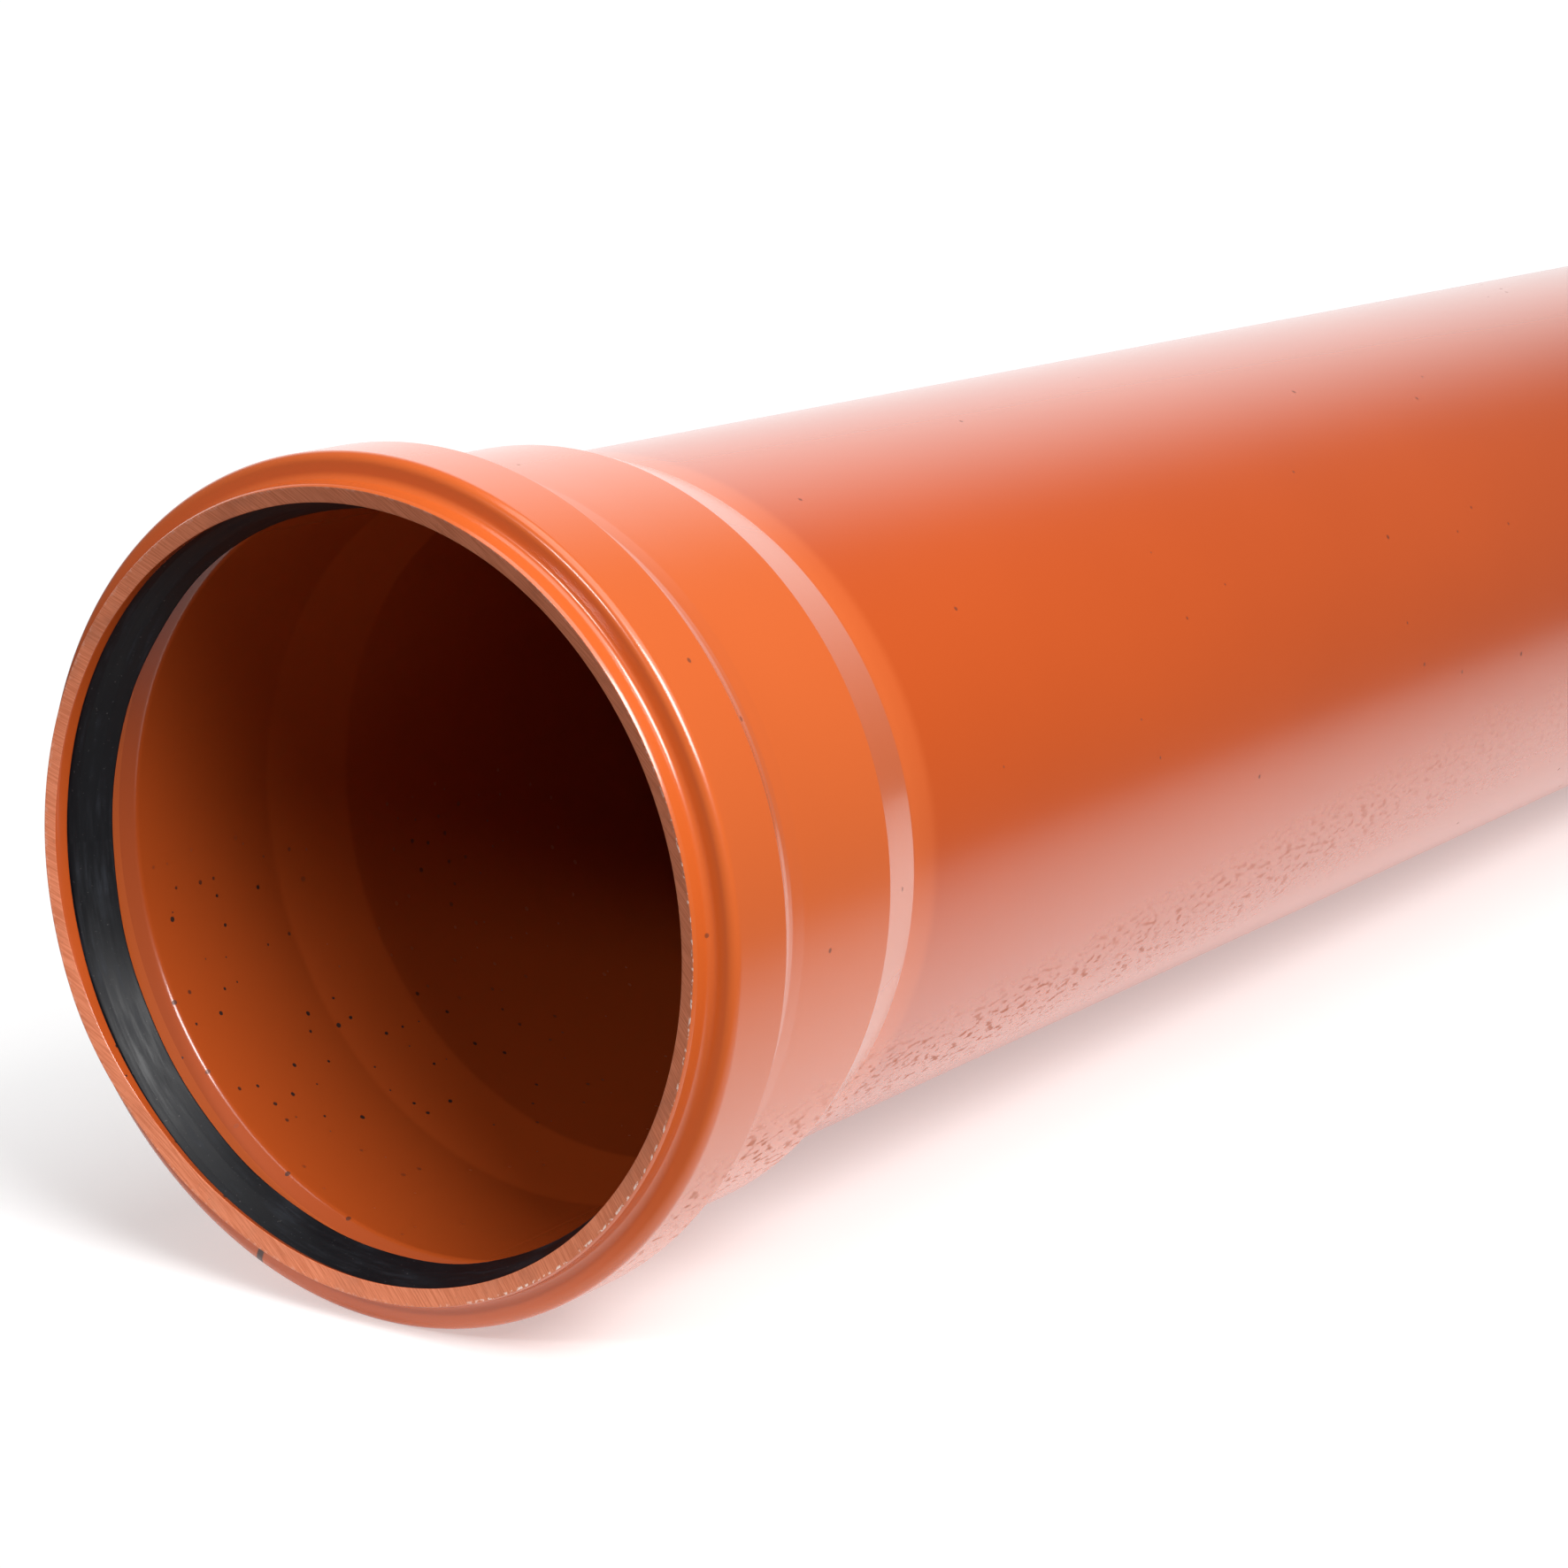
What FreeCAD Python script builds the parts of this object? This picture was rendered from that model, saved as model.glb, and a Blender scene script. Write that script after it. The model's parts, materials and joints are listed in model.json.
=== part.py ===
import FreeCAD, Part
import math
import os

# Solid-wall PVC-U sewer pipe, DN/OD 315, with an integral push-fit socket and a
# captive rubber lip seal. The pipe runs along +Y with the socket's mouth towards
# -Y, and lies on the floor (Z = 0) as it comes to rest: on the rear edge of the
# ring bulge and on the spigot end. All lengths are in mm.

# ---- driving dimensions -------------------------------------------------
OD = 315.0              # outside diameter of the plain pipe
WALL = 7.7              # wall thickness of the plain pipe
LAY_LENGTH = 2000.0     # sold length, from the root of the socket to the spigot end
CHAMFER_R = 3.5         # radial depth of the chamfer on the spigot end
CHAMFER_L = 13.0        # axial length of the chamfer (about 15 degrees)

SOCKET_R = 158.7        # inside radius of the socket
SOCKET_RO = 165.8       # outside radius of the socket
GROOVE_R = 170.3        # inside radius of the ring groove
BULGE_RO = 177.3        # outside radius of the bulge over the ring groove
LIP_R = 158.7           # inside radius of the lip in front of the groove
LIP_RO = 165.7          # outside radius of the lip

MOUTH_IN = 2.4          # the cut face dips inwards to its inner edge by this much
Y_NECK = 6.2            # neck between the lip and the front of the bulge
NECK_R = 3.4            # hollow rounding of the neck
SHOULDER_R = 4.0        # rounding of the front shoulder of the bulge
Y_SHOULDER = 13.6       # front shoulder of the bulge, outside
Y_BULGE = 43.3          # rear edge of the bulge, outside
Y_FOOT = 72.0           # foot of the slope behind the bulge, outside
Y_TAPER_0 = 133.2       # socket begins to neck down to the pipe, outside
Y_TAPER_1 = 163.6       # plain pipe begins, outside

G0 = 6.4                # front of the ring groove, which widens behind it
G1 = 33.0               # rear wall of the ring groove
G2 = 45.0               # foot of the groove's rear slope, inside
T0 = 127.5              # socket begins to neck down, inside
T1 = 170.0              # plain bore begins

R_OUT = OD / 2.0
R_IN = R_OUT - WALL
Y_END = Y_TAPER_1 + LAY_LENGTH

# It stands on the bulge's rear edge and the last full circle of the spigot.
REST_Y = Y_END - CHAMFER_L
TILT = math.atan2(BULGE_RO - R_OUT, REST_Y - Y_BULGE)   # spigot end is lower


def turned(points):
    """Solid of revolution about the Y axis from a closed list of (y, r)."""
    vs = [FreeCAD.Vector(0.0, y, r) for y, r in points]
    face = Part.Face(Part.makePolygon(vs + [vs[0]]))
    solid = face.revolve(FreeCAD.Vector(0, 0, 0), FreeCAD.Vector(0, 1, 0), 360)
    if solid.Volume < 0:
        solid.reverse()
    return solid


def ease(y0, r0, y1, r1, n):
    """Points on a smooth S curve between two radii, both ends included."""
    out = []
    for i in range(n + 1):
        t = i / float(n)
        out.append((y0 + (y1 - y0) * t, r0 + (r1 - r0) * t * t * (3 - 2 * t)))
    return out


# outside, from the mouth to the spigot end
outer = [(0.0, LIP_RO - 0.9), (0.4, LIP_RO - 0.3), (1.2, LIP_RO), (Y_NECK, LIP_RO + 0.3)]
for deg in (18, 36, 54, 72, 90):
    a = math.radians(deg)
    outer.append((Y_NECK + NECK_R * math.sin(a), LIP_RO + 0.3 + NECK_R * (1 - math.cos(a))))
for deg in (0, 18, 36, 54, 72):
    a = math.radians(deg)
    outer.append((Y_SHOULDER - SHOULDER_R * math.cos(a), BULGE_RO - SHOULDER_R * (1 - math.sin(a))))
outer += [(Y_SHOULDER, BULGE_RO), (Y_BULGE, BULGE_RO), (Y_BULGE + 0.7, BULGE_RO - 0.5)]
outer += [(57.0, SOCKET_RO + 2.0), (62.5, SOCKET_RO + 0.6), (Y_FOOT, SOCKET_RO)]
outer += [(Y_TAPER_0, SOCKET_RO)]
outer += [(Y_TAPER_0 + 1.0, SOCKET_RO - 0.25), (Y_TAPER_1 - 4.0, R_OUT + 0.9), (Y_TAPER_1, R_OUT)]
outer += [(Y_END - CHAMFER_L, R_OUT), (Y_END, R_OUT - CHAMFER_R)]

# inside, from the spigot end back to the mouth
inner = [(Y_END, R_IN), (T1, R_IN)]
inner += ease(T1, R_IN, T0, SOCKET_R, 4)[1:]
inner += [(G2, SOCKET_R), (G2 - 3.0, SOCKET_R + 1.3), (G1 + 1.6, GROOVE_R - 1.2), (G1, GROOVE_R)]
inner += [(18.6, GROOVE_R), (16.4, 168.3), (14.2, 164.9), (11.2, 162.0), (G0, 160.4), (G0, LIP_R)]
inner += [(MOUTH_IN + 0.4, LIP_R), (MOUTH_IN, LIP_R + 0.4)]

pipe = turned(outer + inner)

# Rubber lip seal, captive in the groove. Its lip is folded back against the
# groove's rear slope, as it lies when a spigot is in the socket.
GAP = 0.05
SEAL_R = SOCKET_R + 0.1
seal = turned([
    (G0 + 0.08, SEAL_R + 0.8),
    (G0 + 0.08, 160.33),
    (11.28, 161.93),
    (14.28, 164.83),
    (16.48, 168.23),
    (18.66, GROOVE_R - GAP),
    (G1 - 4.0, GROOVE_R - GAP),
    (G1 - 3.0, GROOVE_R - 4.0),
    (G1 + 2.0, SEAL_R + 4.2),
    (G1 + 2.6, SEAL_R + 1.2),
    (G1 + 1.6, SEAL_R),
    (G0 + 8.0, SEAL_R),
])

# Rest position: turn about X so that the spigot end is down on the floor.
turn = FreeCAD.Rotation(FreeCAD.Vector(1, 0, 0), -math.degrees(TILT))
low = turn.multVec(FreeCAD.Vector(0, Y_BULGE, -BULGE_RO)).z
place = FreeCAD.Placement(FreeCAD.Vector(0, 0, -low), turn)

# The origin is on the floor, midway along the pipe's overall length.
y_lo = place.multVec(FreeCAD.Vector(0, 0, -(LIP_RO - 0.9))).y
y_hi = place.multVec(FreeCAD.Vector(0, Y_END, R_OUT - CHAMFER_R)).y
place.Base = place.Base + FreeCAD.Vector(0, -(y_lo + y_hi) / 2.0, 0)
for solid in (pipe, seal):
    solid.transformShape(place.toMatrix())

os.makedirs("parts", exist_ok=True)
pipe.exportStep("parts/pipe.step")
seal.exportStep("parts/seal_ring.step")

for name, solid in (("pipe", pipe), ("seal_ring", seal)):
    b = solid.BoundBox
    print(name, solid.isValid(), round(solid.Volume / 1e6, 4), "litre",
          [round(v, 3) for v in (b.XMin, b.YMin, b.ZMin, b.XMax, b.YMax, b.ZMax)])
print("overlap", round(pipe.common(seal).Volume, 4), "tilt_deg", round(math.degrees(TILT), 4))
for label, y in (("socket", (G2 + T0) / 2), ("spigot", (Y_TAPER_1 + REST_Y) / 2), ("bore", (T1 + Y_END) / 2)):
    p = place.multVec(FreeCAD.Vector(0, y, 0))
    print(label, [round(v / 1000, 6) for v in p])
print("axis", list(turn.multVec(FreeCAD.Vector(0, 1, 0))))
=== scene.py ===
import math
import bpy
import bmesh
from mathutils import Matrix, Vector
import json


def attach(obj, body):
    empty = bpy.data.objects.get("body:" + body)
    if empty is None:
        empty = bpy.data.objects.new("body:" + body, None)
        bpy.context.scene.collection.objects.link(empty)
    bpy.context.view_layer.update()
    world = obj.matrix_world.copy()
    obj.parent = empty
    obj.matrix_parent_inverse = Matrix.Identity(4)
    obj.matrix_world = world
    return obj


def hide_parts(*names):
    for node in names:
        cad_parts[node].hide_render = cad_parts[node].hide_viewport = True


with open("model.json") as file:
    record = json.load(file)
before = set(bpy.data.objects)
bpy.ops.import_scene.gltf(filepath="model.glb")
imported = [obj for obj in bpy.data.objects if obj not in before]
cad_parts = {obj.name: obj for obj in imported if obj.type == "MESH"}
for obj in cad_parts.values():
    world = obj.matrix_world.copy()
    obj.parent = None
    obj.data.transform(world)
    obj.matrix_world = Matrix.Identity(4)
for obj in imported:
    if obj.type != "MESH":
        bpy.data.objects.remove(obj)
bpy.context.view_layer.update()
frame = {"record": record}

MM = 0.001
TAU = 2.0 * math.pi

# ------------------------------------------------ the axis, from the record
mounts = {m["name"]: m for m in frame["record"]["mounts"]}
socket = mounts["socket"]
spigot = mounts["spigot"]
S = Vector(socket["pos_m"])
A = Vector(spigot["axis"]).normalized()
X = Vector((1.0, 0.0, 0.0))
Z = X.cross(A).normalized()
M = S - 0.08625 * A                     # centre of the mouth plane
WORLD = Matrix((
    (X.x, A.x, Z.x, M.x),
    (X.y, A.y, Z.y, M.y),
    (X.z, A.z, Z.z, M.z),
    (0.0, 0.0, 0.0, 1.0)))


# ------------------------------------------------ turned shapes
def arc_corner(p, q, s, radius, n):
    """Rows (y, r) that round corner q between p and s."""
    a = Vector((p[0] - q[0], p[1] - q[1]))
    b = Vector((s[0] - q[0], s[1] - q[1]))
    la, lb = a.length, b.length
    a.normalize()
    b.normalize()
    dot = max(-1.0, min(1.0, a.dot(b)))
    ang = math.acos(dot)
    if radius <= 0.0 or ang > math.pi - 1e-4:
        return [q]
    t = radius / math.tan(ang / 2.0)
    t = min(t, 0.48 * la, 0.48 * lb)
    radius = t * math.tan(ang / 2.0)
    p0 = Vector(q) + a * t
    p1 = Vector(q) + b * t
    mid = (a + b).normalized()
    c = Vector(q) + mid * (radius / math.sin(ang / 2.0))
    v0, v1 = p0 - c, p1 - c
    a0 = math.atan2(v0.y, v0.x)
    a1 = math.atan2(v1.y, v1.x)
    d = (a1 - a0 + math.pi) % TAU - math.pi
    out = []
    for i in range(n + 1):
        w = a0 + d * i / n
        out.append((c.x + radius * math.cos(w), c.y + radius * math.sin(w)))
    return out


def rows_of(points, closed=True):
    """points: (y, r, fillet, segments, tag of the stretch that follows)."""
    n = len(points)
    rows, tags = [], []
    for i, (y, r, f, k, tag) in enumerate(points):
        p = points[i - 1][:2]
        s = points[(i + 1) % n][:2]
        got = arc_corner(p, (y, r), s, f, k)
        before = points[i - 1][4]
        for j, g in enumerate(got):
            rows.append(g)
            tags.append(tag if j >= len(got) // 2 else before)
    # extra rows in the long stretches, close to each corner, keep the flats flat
    out, otags = [], []
    m = len(rows)
    for i in range(m):
        a, b = rows[i], rows[(i + 1) % m]
        out.append(a)
        otags.append(tags[i])
        L = math.dist(a, b)
        steps = []
        if L > 3.0:
            steps = [0.6 / L, 1.0 - 0.6 / L]
        if L > 24.0:
            steps = [0.6 / L, 6.0 / L, 1.0 - 6.0 / L, 1.0 - 0.6 / L]
        if L > 300.0:
            steps = ([0.6 / L, 6.0 / L] + [k / 12.0 for k in range(1, 12)]
                     + [1.0 - 6.0 / L, 1.0 - 0.6 / L])
        for t in steps:
            out.append((a[0] + (b[0] - a[0]) * t, a[1] + (b[1] - a[1]) * t))
            otags.append(tags[i])
    return out, otags


def table(knots):
    """A smooth closed function of the angle in degrees."""
    ks = sorted(((a % 360.0), v) for a, v in knots)

    def f(deg):
        deg %= 360.0
        for i in range(len(ks)):
            a0, v0 = ks[i]
            a1, v1 = ks[(i + 1) % len(ks)]
            span = (a1 - a0) % 360.0
            at = (deg - a0) % 360.0
            if at <= span:
                t = at / span
                t = t * t * (3.0 - 2.0 * t)
                return v0 + (v1 - v0) * t
        return ks[0][1]
    return f


# saw cut that isn't quite square, and a deburred edge wider on one side
cut = table([(-180, -3.0), (-158, -2.8), (-130, 0.2), (-113, 1.4), (-80, 1.6),
             (-45, 0.4), (0, 0.0), (60, -0.4), (100, -1.8), (125, -3.0)])
burr = table([(-180, 3.5), (-168, 3.1), (-153, 1.8), (-125, 0.2), (-60, 0.0), (0, 0.0),
              (60, 0.0), (105, 0.4), (120, 0.9), (134, 1.5), (148, 2.2), (162, 2.9)])
swell = table([(-150, 1.4), (-120, 1.0), (-70, 0.2), (0, 0.0), (90, 0.0), (170, 0.3)])


def turned(name, points, segments, bend=None, faces=None):
    rows, tags = rows_of(points)
    mesh = bpy.data.meshes.new(name)
    bm = bmesh.new()
    rings = []
    for y, r in rows:
        ring = []
        for k in range(segments):
            th = TAU * k / segments
            yy, rr = (y, r) if bend is None else bend(y, r, math.degrees(th))
            ring.append(bm.verts.new((rr * math.cos(th) * MM, yy * MM, rr * math.sin(th) * MM)))
        rings.append(ring)
    n = len(rings)
    for i in range(n):
        a, b = rings[i], rings[(i + 1) % n]
        for k in range(segments):
            k2 = (k + 1) % segments
            f = bm.faces.new((a[k], a[k2], b[k2], b[k]))
            f.smooth = True
            f.material_index = faces.get(tags[i], 0) if faces else 0
    bmesh.ops.recalc_face_normals(bm, faces=bm.faces)
    bm.transform(WORLD)
    bm.to_mesh(mesh)
    bm.free()
    obj = bpy.data.objects.new(name, mesh)
    bpy.context.scene.collection.objects.link(obj)
    return obj


# ------------------------------------------------ the pipe
PIPE = [
    (0.0, 165.0, 0.3, 4, "o"),
    (1.4, 165.75, 0.8, 4, "o"),
    (6.2, 166.0, 0.0, 1, "o"),
]
for k in range(1, 9):                   # hollow of the neck, radius 3.4
    w = math.radians(90.0 * k / 8.0)
    PIPE.append((6.2 + 3.4 * math.sin(w), 169.4 - 3.4 * math.cos(w), 0.0, 1, "o"))
for k in range(0, 10):                  # front shoulder of the bead, radius 4
    w = math.radians(90.0 * k / 10.0)
    PIPE.append((13.6 - 4.0 * math.cos(w), 173.3 + 4.0 * math.sin(w), 0.0, 1, "o"))
PIPE += [
    (13.6, 177.3, 0.0, 1, "o"),
    (43.3, 177.3, 0.55, 5, "o"),        # crisp rear edge of the bead
    (49.0, 172.6, 0.0, 1, "o"),
    (53.6, 169.6, 0.0, 1, "o"),
    (57.0, 167.95, 0.0, 1, "o"),
    (60.0, 166.95, 0.0, 1, "o"),
    (63.5, 166.3, 0.0, 1, "o"),
    (72.0, 165.9, 0.0, 1, "o"),
    (96.0, 165.8, 0.0, 1, "o"),
    (133.2, 165.8, 0.7, 5, "o"),
    (163.6, 157.5, 2.2, 5, "o"),
    (2150.6, 157.5, 0.8, 4, "o"),
    (2163.6, 154.0, 0.3, 3, "e"),
    (2163.6, 149.8, 0.3, 3, "i"),
    (170.0, 149.8, 14.0, 6, "i"),
    (127.5, 158.7, 14.0, 6, "i"),
    (45.0, 158.7, 4.0, 8, "i"),
    (33.0, 170.3, 2.0, 5, "i"),
    (18.6, 170.3, 1.0, 4, "i"),
    (16.4, 168.3, 1.0, 3, "i"),
    (14.2, 165.6, 1.0, 3, "i"),
    (11.2, 163.6, 1.0, 3, "i"),
    (6.4, 162.2, 0.3, 3, "i"),
    (6.4, 159.6, 0.4, 4, "i"),
    (2.4, 157.9, 0.35, 4, "f"),
]


def pipe_bend(y, r, deg):
    fade = max(0.0, 1.0 - abs(y) / 14.0) if y < 14.0 else 0.0
    fade = fade * fade * (3.0 - 2.0 * fade)
    yy = y + cut(deg) * fade
    rr = r
    if y < 5.9 and r < 165.0:           # the deburred inner edge
        rr += burr(deg) * max(0.0, min(1.0, (165.7 - r) / 7.0)) * max(0.0, 1.0 - abs(y - 2.4) / 3.6)
    if r > 166.5 and y < 60.0:
        rr += swell(deg) * min(1.0, (r - 166.5) / 10.0)
    # slow wave of the drawn wall: a few hundredths of a millimetre, as extruded
    rr += 0.05 * math.sin(math.radians(deg) * 3.0 + 0.7) + 0.03 * math.sin(math.radians(deg) * 7.0 + y / 310.0)
    return yy, rr


SEAL = [
    (6.75, 160.9, 0.3, 4, "s"),
    (8.6, 161.9, 1.2, 5, "s"),
    (12.0, 160.2, 1.0, 6, "s"),
    (18.5, 156.1, 9.0, 5, "s"),
    (24.3, 153.2, 0.55, 6, "s"),
    (25.1, 154.3, 0.5, 5, "s"),
    (20.6, 158.6, 3.0, 5, "s"),
    (18.4, 162.6, 2.2, 6, "s"),
    (24.0, 164.6, 3.0, 5, "s"),
    (31.0, 166.6, 1.2, 5, "s"),
    (32.2, 169.9, 0.8, 4, "s"),
    (18.9, 169.9, 0.4, 3, "s"),
    (16.7, 168.0, 0.5, 3, "s"),
    (14.4, 165.3, 0.5, 3, "s"),
    (11.4, 163.3, 0.5, 3, "s"),
    (6.8, 162.0, 0.2, 3, "s"),
]
lip = table([(-180, -0.6), (145, -1.1), (120, -0.3), (60, 0.1), (0, 0.0), (-60, 0.1),
             (-110, 0.5), (-133, 1.0), (-155, 0.2)])


def seal_bend(y, r, deg):
    w = max(0.0, min(1.0, (y - 11.0) / 13.0)) if r < 161.0 else 0.0
    wob = 0.18 * math.sin(math.radians(deg) * 9.0 + 1.1) + 0.12 * math.sin(math.radians(deg) * 17.0)
    fade = max(0.0, 1.0 - y / 14.0) if y < 14.0 else 0.0
    fade = fade * fade * (3.0 - 2.0 * fade)
    return y + cut(deg) * fade, r + w * (lip(deg) + wob)


pipe = turned("pipe_body", PIPE, 384, pipe_bend, {"f": 1, "e": 1})
seal = turned("seal_ring_body", SEAL, 384, seal_bend)


# ------------------------------------------------ materials
def material(name):
    m = bpy.data.materials.new(name)
    m.use_nodes = True
    t = m.node_tree
    b = next(n for n in t.nodes if n.type == "BSDF_PRINCIPLED")
    return m, t, b


def put(b, **kw):
    for k, v in kw.items():
        k = k.replace("_", " ")
        for s in b.inputs:
            if s.name.lower() == k.lower():
                s.default_value = v


class Net:
    def __init__(self, tree):
        self.t = tree

    def node(self, kind, **props):
        n = self.t.nodes.new(kind)
        for k, v in props.items():
            setattr(n, k, v)
        return n

    def link(self, a, b):
        self.t.links.new(a, b)

    def math(self, op, a, b=None, c=None, clamp=False):
        n = self.node("ShaderNodeMath", operation=op, use_clamp=clamp)
        for i, v in enumerate((a, b, c)):
            if v is None:
                continue
            if isinstance(v, (int, float)):
                n.inputs[i].default_value = v
            else:
                self.link(v, n.inputs[i])
        return n.outputs[0]

    def band(self, v, a0, a1, b0, b1):
        """1 between a1 and b0, falling to 0 at a0 and b1."""
        up = self.node("ShaderNodeMapRange", interpolation_type="SMOOTHSTEP")
        self.link(v, up.inputs["Value"])
        up.inputs["From Min"].default_value = a0
        up.inputs["From Max"].default_value = a1
        dn = self.node("ShaderNodeMapRange", interpolation_type="SMOOTHSTEP")
        self.link(v, dn.inputs["Value"])
        dn.inputs["From Min"].default_value = b0
        dn.inputs["From Max"].default_value = b1
        dn.inputs["To Min"].default_value = 1.0
        dn.inputs["To Max"].default_value = 0.0
        return self.math("MULTIPLY", up.outputs[0], dn.outputs[0])

    def ramp(self, v, lo, hi, a=0.0, b=1.0):
        n = self.node("ShaderNodeMapRange", interpolation_type="SMOOTHSTEP")
        self.link(v, n.inputs["Value"])
        n.inputs["From Min"].default_value = lo
        n.inputs["From Max"].default_value = hi
        n.inputs["To Min"].default_value = a
        n.inputs["To Max"].default_value = b
        return n.outputs[0]

    def noise(self, vec, scale, detail=3.0, rough=0.5):
        n = self.node("ShaderNodeTexNoise")
        self.link(vec, n.inputs["Vector"])
        n.inputs["Scale"].default_value = scale
        n.inputs["Detail"].default_value = detail
        n.inputs["Roughness"].default_value = rough
        return n.outputs["Fac"]

    def stretch(self, vec, scale, rot=(0, 0, 0)):
        n = self.node("ShaderNodeMapping")
        self.link(vec, n.inputs["Vector"])
        n.inputs["Scale"].default_value = scale
        n.inputs["Rotation"].default_value = rot
        return n.outputs[0]

    def mix(self, fac, a, b):
        n = self.node("ShaderNodeMix", data_type="RGBA")
        if isinstance(fac, (int, float)):
            n.inputs[0].default_value = fac
        else:
            self.link(fac, n.inputs[0])
        for s, v in ((n.inputs[6], a), (n.inputs[7], b)):
            if isinstance(v, tuple):
                s.default_value = v
            else:
                self.link(v, s)
        return n.outputs[2]

    def bump(self, h, strength, dist, chain=None):
        n = self.node("ShaderNodeBump")
        n.inputs["Strength"].default_value = strength
        n.inputs["Distance"].default_value = dist
        self.link(h, n.inputs["Height"])
        if chain is not None:
            self.link(chain, n.inputs["Normal"])
        return n.outputs[0]


def coords(net):
    tc = net.node("ShaderNodeTexCoord")
    back = WORLD.inverted()             # into the pipe's own axis, y from the mouth
    own = net.node("ShaderNodeMapping", vector_type="POINT")
    net.link(tc.outputs["Object"], own.inputs["Vector"])
    own.inputs["Location"].default_value = back.to_translation()
    own.inputs["Rotation"].default_value = back.to_euler("XYZ")
    sep = net.node("ShaderNodeSeparateXYZ")
    net.link(own.outputs[0], sep.inputs[0])
    ang = net.math("ARCTAN2", sep.outputs[2], sep.outputs[0])
    deg = net.math("MULTIPLY", ang, 180.0 / math.pi)
    rad = net.math("SQRT", net.math("ADD", net.math("MULTIPLY", sep.outputs[0], sep.outputs[0]),
                                    net.math("MULTIPLY", sep.outputs[2], sep.outputs[2])))
    # unrolled wall: metres round, metres along
    uv = net.node("ShaderNodeCombineXYZ")
    net.link(net.math("MULTIPLY", ang, 0.16), uv.inputs[0])
    net.link(sep.outputs[1], uv.inputs[1])
    return own.outputs[0], uv.outputs[0], sep.outputs[1], deg, rad


# orange-brown PVC-U
pvc, tree, b = material("pvc_orange")
N = Net(tree)
obj_c, uv_c, ycoord, degree, radius = coords(N)
put(b, ior=1.47, specular_ior_level=0.5, coat_roughness=0.14, coat_ior=1.55)
inside = N.ramp(radius, 0.1560, 0.1548)                       # 1 on the bore
in_socket = N.math("MAXIMUM",
                   N.math("MULTIPLY", N.math("LESS_THAN", radius, 0.1594), N.math("LESS_THAN", ycoord, 0.152)),
                   N.math("MULTIPLY", N.math("LESS_THAN", radius, 0.1638), N.math("LESS_THAN", ycoord, 0.120)))
inner = N.math("MAXIMUM", inside, in_socket)
outer = N.math("SUBTRACT", 1.0, inner)
heat = N.math("MULTIPLY", N.ramp(ycoord, 0.182, 0.158), outer)  # socket formed hot: a little paler
tone = N.noise(uv_c, 4.0, 3.0)
body = N.mix(N.ramp(tone, 0.3, 0.7), (0.495, 0.0700, 0.0045, 1.0), (0.520, 0.0750, 0.0055, 1.0))
body = N.mix(N.math("MULTIPLY", heat, 0.75), body, (0.615, 0.120, 0.022, 1.0))
band = N.band(ycoord, 0.160, 0.166, 0.176, 0.184)
body = N.mix(N.math("MULTIPLY", N.math("MULTIPLY", band, outer), 0.5), body, (0.64, 0.120, 0.022, 1.0))
# inside of the bore and socket: a paler, less saturated base colour that paints in the whitish sheen of the inner
# wall (painted sheen)
body = N.mix(N.math("MULTIPLY", inner, 0.6), body, (0.500, 0.092, 0.020, 1.0))
# specks of dirt: few outside, more low in the socket
sp = N.node("ShaderNodeTexVoronoi", feature="F1", voronoi_dimensions="2D")
N.link(uv_c, sp.inputs["Vector"])
sp.inputs["Scale"].default_value = 85.0
pick = N.node("ShaderNodeSeparateColor")
N.link(sp.outputs["Color"], pick.inputs[0])
chosen = N.math("GREATER_THAN", pick.outputs[0], 0.58)
size = N.math("MULTIPLY_ADD", pick.outputs[1], 0.075, 0.030)
dot = N.math("MULTIPLY", N.math("LESS_THAN", sp.outputs["Distance"], size), chosen)
sector = N.band(degree, -178.0, -165.0, -115.0, -90.0)
clump = N.ramp(N.noise(uv_c, 9.0, 2.0), 0.36, 0.52)
low = N.math("MULTIPLY", N.math("MULTIPLY", inner, N.ramp(ycoord, 0.34, 0.16)), N.math("MULTIPLY", sector, clump))
few = N.math("MULTIPLY", N.math("GREATER_THAN", pick.outputs[2], 0.955), outer)
share = N.math("ADD", low, N.math("MULTIPLY", few, 0.6), clamp=True)
dots = N.math("MULTIPLY", dot, share)
body = N.mix(dots, body, (0.040, 0.016, 0.010, 1.0))
# one black scuff over the bead, lower left
dx = N.math("DIVIDE", N.math("ADD", degree, 111.5), 0.7)
dy = N.math("DIVIDE", N.math("SUBTRACT", ycoord, 0.007), 0.009)
dd = N.math("ADD", N.math("MULTIPLY", dx, dx), N.math("MULTIPLY", dy, dy))
rag = N.math("MULTIPLY", N.noise(uv_c, 420.0, 4.0, 0.7), 1.7)
smear = N.math("MULTIPLY", N.ramp(N.math("ADD", dd, rag), 1.9, 1.2), outer)
body = N.mix(N.math("MULTIPLY", smear, 0.9), body, (0.012, 0.010, 0.010, 1.0))
# pale rubbed dust along the flank
climb = N.math("MULTIPLY", N.math("MINIMUM", N.math("MAXIMUM", N.math("SUBTRACT", ycoord, 0.2), 0.0), 0.6), 34.0)
dust_band = N.band(N.math("SUBTRACT", degree, climb), -58.0, -42.0, -37.0, -27.0)
stip = N.noise(N.stretch(uv_c, (1.0, 0.50, 1.0), (0.0, 0.0, 0.5)), 300.0, 2.0, 0.55)
scuffed = N.math("MULTIPLY", N.math("MULTIPLY", dust_band, N.ramp(stip, 0.52, 0.66)), outer)
scuffed = N.math("MULTIPLY", scuffed, N.ramp(N.noise(uv_c, 22.0, 2.0), 0.30, 0.55))
scuffed = N.math("MULTIPLY", scuffed, N.math("MULTIPLY", N.ramp(ycoord, 0.015, 0.019), N.ramp(ycoord, 0.95, 0.18, 0.12, 0.9)))
body = N.mix(N.math("MULTIPLY", scuffed, 0.70), body, (0.32, 0.080, 0.022, 1.0))
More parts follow.
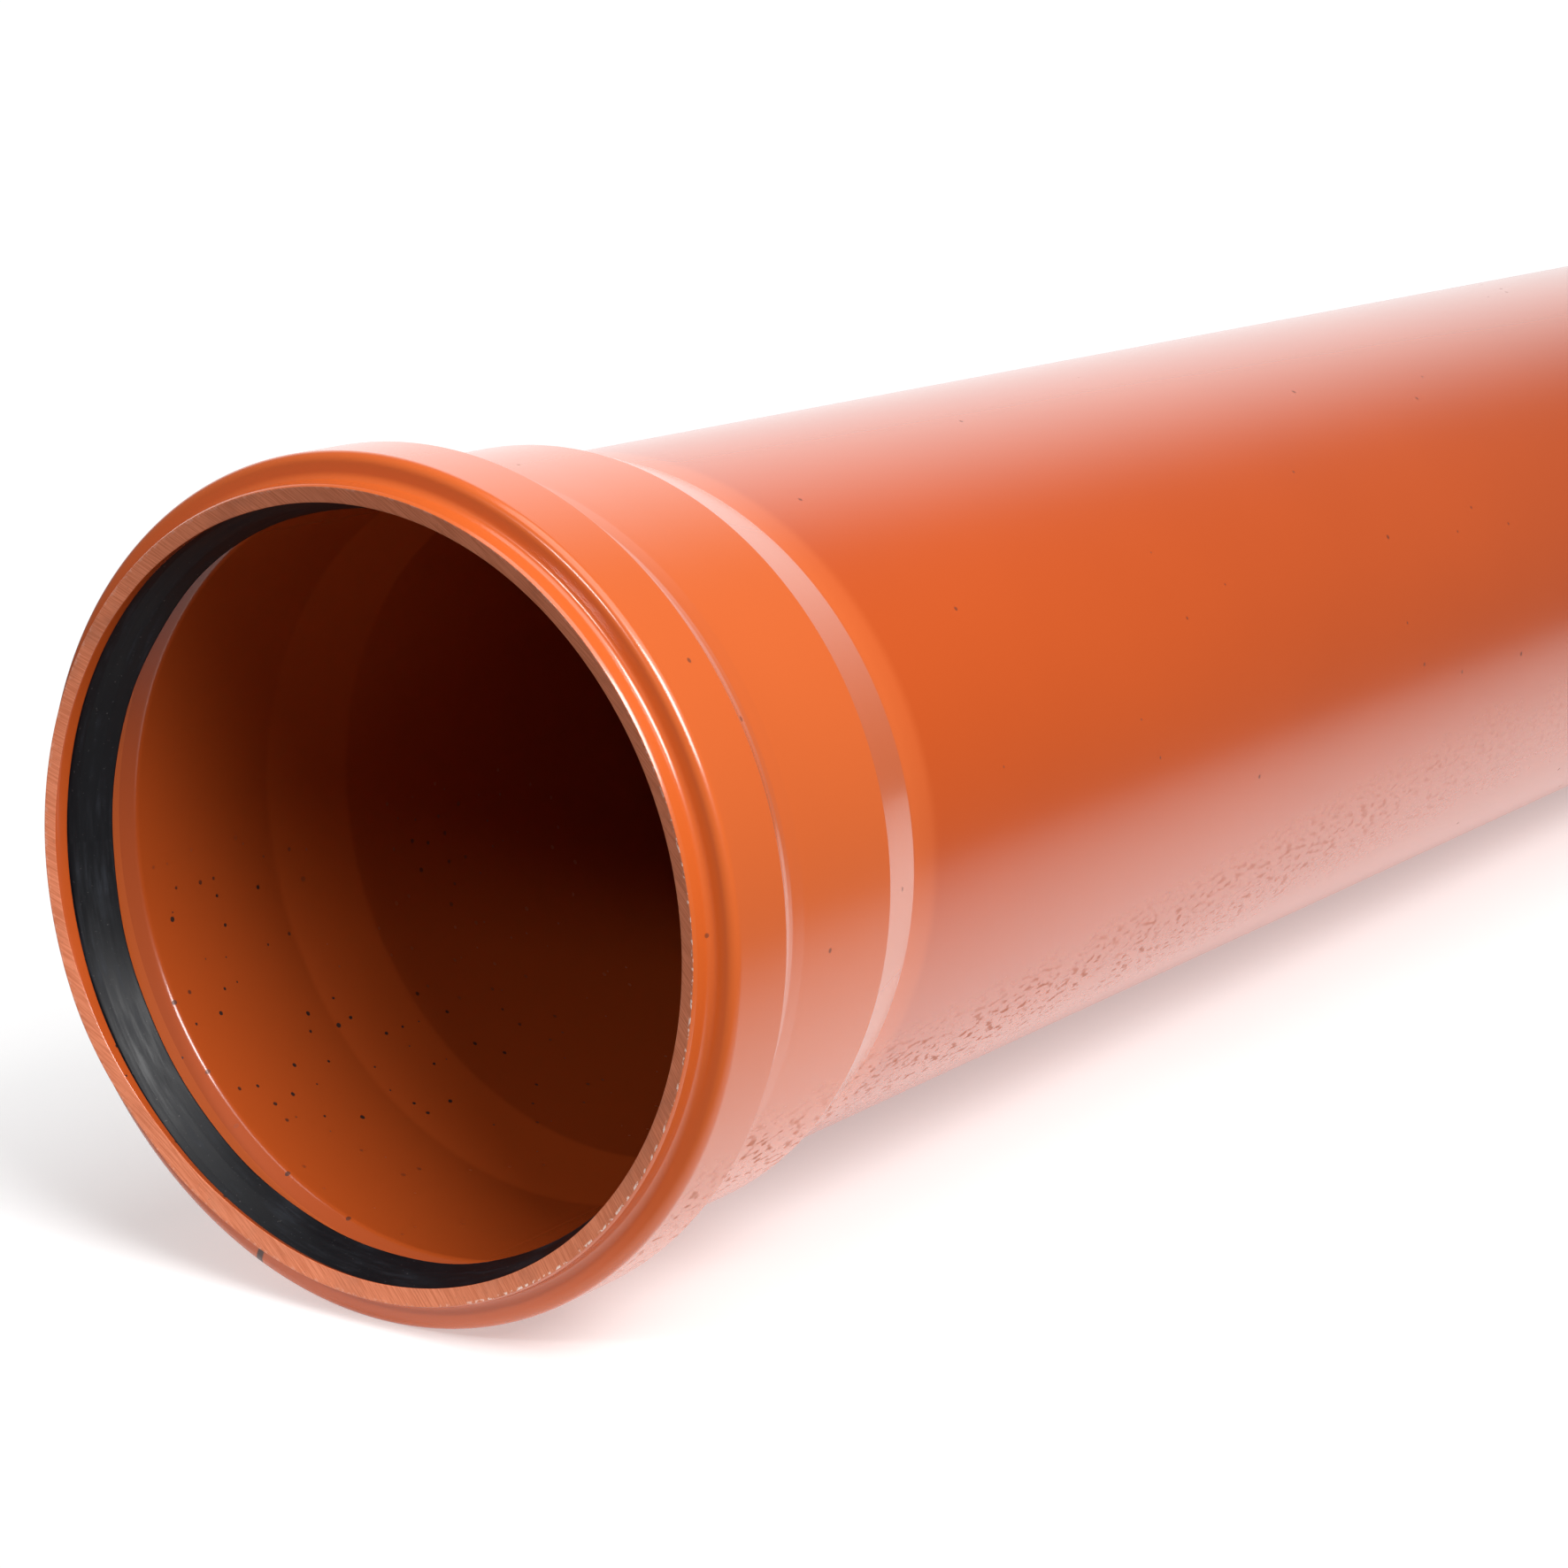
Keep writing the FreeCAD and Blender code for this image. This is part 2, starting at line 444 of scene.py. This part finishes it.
N.link(body, b.inputs["Base Color"])
rough = N.math("MULTIPLY_ADD", scuffed, 0.40, 0.265)
rough = N.math("ADD", rough, N.math("MULTIPLY", dots, 0.3), clamp=True)
N.link(rough, b.inputs["Roughness"])
matt = N.math("MAXIMUM", scuffed, dots)                 # scuffs and dirt have lost the gloss
N.link(N.math("MULTIPLY_ADD", matt, -0.52, 0.62, clamp=True), b.inputs["Coat Weight"])
n3 = N.bump(scuffed, 0.20, 0.0002)
N.link(n3, b.inputs["Normal"])

# sawn end
sawn, tree, b = material("pvc_sawn")
N = Net(tree)
obj_c, uv_c, ycoord, degree, radius = coords(N)
put(b, ior=1.45, specular_ior_level=0.35)
saw_v = N.stretch(obj_c, (1.0, 1.0, 1.0), (0.0, math.radians(52.0), 0.0))
lines = N.noise(N.stretch(saw_v, (1500.0, 10.0, 60.0)), 1.0, 3.0, 0.6)
blot = N.noise(obj_c, 26.0, 4.0, 0.6)
grit = N.noise(obj_c, 700.0, 3.0, 0.7)
face = N.mix(N.ramp(lines, 0.35, 0.65), (0.57, 0.158, 0.070, 1.0), (0.73, 0.238, 0.122, 1.0))
face = N.mix(N.math("MULTIPLY", N.ramp(blot, 0.5, 0.72), 0.42), face, (0.33, 0.115, 0.065, 1.0))
face = N.mix(N.math("MULTIPLY", N.ramp(grit, 0.62, 0.75), 0.35), face, (0.16, 0.07, 0.05, 1.0))
edge_chip = N.math("MULTIPLY", N.ramp(radius, 0.1637, 0.1644), N.ramp(N.noise(obj_c, 480.0, 2.0), 0.52, 0.60))
side = N.band(degree, -80.0, -60.0, 10.0, 40.0)
chips = N.math("MULTIPLY", edge_chip, N.math("ADD", N.math("MULTIPLY", side, 0.8), 0.12))
face = N.mix(chips, face, (0.95, 0.72, 0.62, 1.0))
N.link(face, b.inputs["Base Color"])
N.link(N.ramp(lines, 0.3, 0.7, 0.62, 0.78), b.inputs["Roughness"])
m1 = N.bump(lines, 0.30, 0.00020)
N.link(N.bump(grit, 0.3, 0.0001, m1), b.inputs["Normal"])

# black elastomer
rub, tree, b = material("rubber_black")
N = Net(tree)
obj_c, uv_c, ycoord, degree, radius = coords(N)
put(b, ior=1.5, specular_ior_level=0.30)
streak = N.noise(N.stretch(uv_c, (14.0, 160.0, 1.0)), 2.6, 4.0, 0.6)
cloud = N.noise(uv_c, 30.0, 4.0, 0.65)
dusty = N.math("MULTIPLY", N.ramp(streak, 0.45, 0.72), N.ramp(cloud, 0.35, 0.7))
col = N.mix(dusty, (0.0035, 0.0042, 0.0060, 1.0), (0.018, 0.021, 0.028, 1.0))
spk = N.noise(uv_c, 620.0, 2.0, 0.7)
col = N.mix(N.math("MULTIPLY", N.ramp(spk, 0.66, 0.74), 0.5), col, (0.11, 0.10, 0.10, 1.0))
N.link(col, b.inputs["Base Color"])
N.link(N.ramp(streak, 0.3, 0.7, 0.40, 0.56), b.inputs["Roughness"])
N.link(N.bump(streak, 0.25, 0.0002), b.inputs["Normal"])

pipe.data.materials.append(pvc)
pipe.data.materials.append(sawn)
seal.data.materials.append(rub)

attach(pipe, "root")
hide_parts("pipe")
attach(seal, "root")
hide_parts("seal_ring")

# ------------------------------------------------ floor
fm = bpy.data.meshes.new("floor")
bm = bmesh.new()
bmesh.ops.create_grid(bm, x_segments=24, y_segments=24, size=2.4)
for v in bm.verts:
    v.co.z = -0.0002
bm.to_mesh(fm)
bm.free()
floor = bpy.data.objects.new("floor", fm)
bpy.context.scene.collection.objects.link(floor)
mat, tree, b = material("floor_pale")
N = Net(tree)
tc = N.node("ShaderNodeTexCoord")
fn = N.noise(tc.outputs["Object"], 3.0, 3.0)
N.link(N.mix(N.ramp(fn, 0.3, 0.7), (0.62, 0.62, 0.62, 1.0), (0.64, 0.64, 0.64, 1.0)), b.inputs["Base Color"])
put(b, roughness=0.9, specular_ior_level=0.2)
fs = N.node("ShaderNodeSeparateXYZ")
N.link(tc.outputs["Object"], fs.inputs[0])
fx = N.math("MAXIMUM", N.math("SUBTRACT", N.math("ABSOLUTE", fs.outputs[0]), 0.10), 0.0)
fy = N.math("MAXIMUM", N.math("SUBTRACT", N.math("ABSOLUTE", fs.outputs[1]), 1.02), 0.0)
fy = N.math("MULTIPLY", fy, 2.2)
far = N.math("SQRT", N.math("ADD", N.math("MULTIPLY", fx, fx), N.math("MULTIPLY", fy, fy)))
put(b, emission_color=(1.0, 1.0, 1.0, 1.0), emission_strength=0.41)
clear = N.node("ShaderNodeBsdfTransparent")
both = N.node("ShaderNodeMixShader")
N.link(N.ramp(far, 0.05, 0.56), both.inputs[0])
N.link(b.outputs[0], both.inputs[1])
N.link(clear.outputs[0], both.inputs[2])
outp = next(n for n in tree.nodes if n.type == "OUTPUT_MATERIAL")
N.link(both.outputs[0], outp.inputs["Surface"])
fm.materials.append(mat)

# ------------------------------------------------ camera
R = 0.1575
C = Vector((6.1202636, -7.04033334, 2.42227037)) * R
yaw, pitch = math.radians(34.4043217), math.radians(12.7368298)
fwd = Vector((-math.sin(yaw) * math.cos(pitch), math.cos(yaw) * math.cos(pitch), -math.sin(pitch)))
right = Vector((math.cos(yaw), math.sin(yaw), 0.0))
up = right.cross(fwd)


def turn(v):
    return X * v.x + A * v.y + Z * v.z


loc = M + turn(C)
r_, u_, b_ = turn(right), turn(up), -turn(fwd)
cam = bpy.data.cameras.new("camera")
cam.sensor_width = 36.0
cam.sensor_fit = "HORIZONTAL"
cam.lens = 4332.314 * 36.0 / 1772.0
cam.shift_x = (886.0 - 883.060) / 1772.0
cam.shift_y = (876.084 - 886.0) / 1772.0
cam.clip_start = 0.02
cam.clip_end = 60.0
co = bpy.data.objects.new("camera", cam)
bpy.context.scene.collection.objects.link(co)
co.matrix_world = Matrix((
    (r_.x, u_.x, b_.x, loc.x),
    (r_.y, u_.y, b_.y, loc.y),
    (r_.z, u_.z, b_.z, loc.z),
    (0.0, 0.0, 0.0, 1.0)))
bpy.context.scene.camera = co


# ------------------------------------------------ light
def soft(name, at, to, sx, sy, watts, colour=(1.0, 1.0, 1.0)):
    L = bpy.data.lights.new(name, "AREA")
    L.shape = "RECTANGLE"
    L.size, L.size_y = sx, sy
    L.energy = watts
    L.color = colour
    o = bpy.data.objects.new(name, L)
    bpy.context.scene.collection.objects.link(o)
    d = (Vector(to) - Vector(at)).normalized()
    o.rotation_euler = d.to_track_quat("-Z", "Y").to_euler()
    o.location = at
    return o


soft("overhead", (1.0, -0.95, 2.4), (0.2, -0.9, 0.0), 2.4, 2.7, 42.0)
soft("key", (2.6, -1.95, 2.45), (0.0, -0.55, 0.1), 1.6, 1.6, 128.0)
soft("front", (-0.05, -3.6, 1.88), (0.0, -1.08, 0.18), 0.8, 0.26, 22.0)

w = bpy.data.worlds.new("studio")
bpy.context.scene.world = w
w.use_nodes = True
t = w.node_tree
bg = next(n for n in t.nodes if n.type == "BACKGROUND")
N = Net(t)
tc = N.node("ShaderNodeTexCoord")
dp = N.node("ShaderNodeVectorMath", operation="DOT_PRODUCT")
N.link(tc.outputs["Generated"], dp.inputs[0])
back = Vector((math.cos(math.radians(126.0)), math.sin(math.radians(126.0)), 0.20)).normalized()
dp.inputs[1].default_value = back
glow = N.ramp(dp.outputs["Value"], 0.70, 1.0)
lit = N.mix(glow, (0.14, 0.14, 0.145, 1.0), (1.17, 1.17, 1.18, 1.0))
lp = N.node("ShaderNodeLightPath")      # the surround is seen as plain white from every side
N.link(N.mix(lp.outputs["Is Camera Ray"], lit, (1.05, 1.05, 1.05, 1.0)), bg.inputs["Color"])
bg.inputs["Strength"].default_value = 1.0
bpy.context.scene.view_settings.view_transform = "Standard"

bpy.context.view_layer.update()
import json
